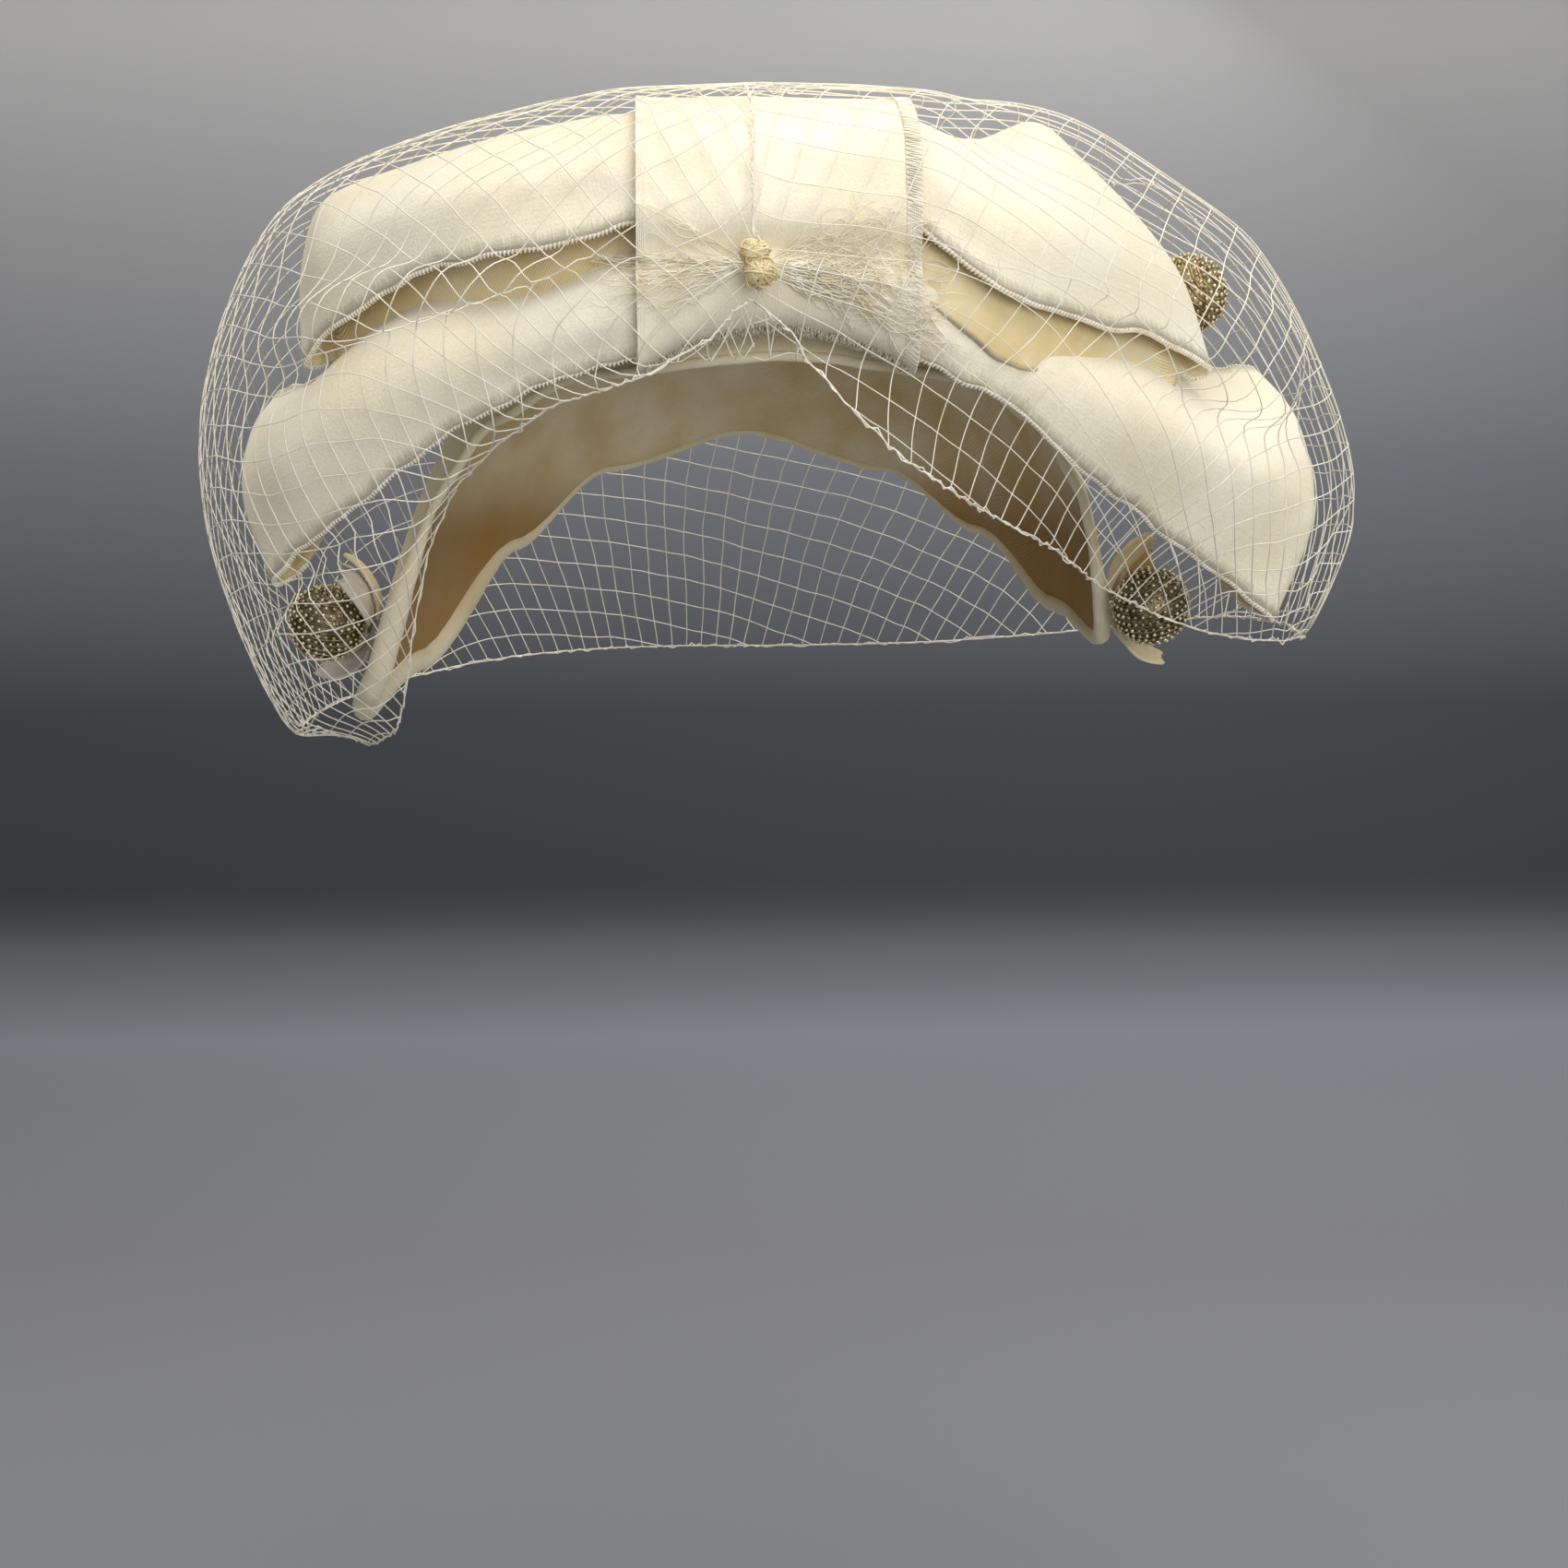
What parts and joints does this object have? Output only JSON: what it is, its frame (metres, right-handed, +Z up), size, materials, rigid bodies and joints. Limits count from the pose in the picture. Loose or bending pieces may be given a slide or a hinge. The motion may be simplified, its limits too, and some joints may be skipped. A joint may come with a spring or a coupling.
{
  "type": "bow half hat",
  "caption": "Velvet half hat with a wide flat ribbon bow at the back, petal flowers with beaded balls over the ears, and a net veil.",
  "frame": {"origin": "top of the inside of the crown, where the top of the head meets it", "axes": "+Z up, +Y from the bow at the back to the face, +X to the wearer's right"},
  "size_m": [0.2639, 0.2137, 0.1454],
  "materials": {
    "velvet": "cream velvet with a short soft pile",
    "beading": "dark taupe metal beads with small pale seed beads",
    "netting": "fine cream silk net",
    "thread": "gold beige sewing thread"
  },
  "bodies": {
    "root": {"crown": "velvet", "bow_upper_left": "velvet", "bow_upper_right": "velvet", "bow_lower_left": "velvet", "bow_lower_right": "velvet", "bow_wrap": "velvet", "left_flower_petal_1": "velvet", "left_flower_petal_2": "velvet", "left_flower_petal_3": "velvet", "left_flower_petal_4": "velvet", "left_flower_petal_5": "velvet", "left_flower_petal_6": "velvet", "left_flower_ball": "beading", "right_flower_petal_1": "velvet", "right_flower_petal_2": "velvet", "right_flower_petal_3": "velvet", "right_flower_petal_4": "velvet", "right_flower_petal_5": "velvet", "right_flower_petal_6": "velvet", "right_flower_ball": "beading", "upper_loop_ball": "beading", "lower_loop_ball": "beading", "veil": "netting", "veil_knot": "thread"}
  },
  "joints": []
}
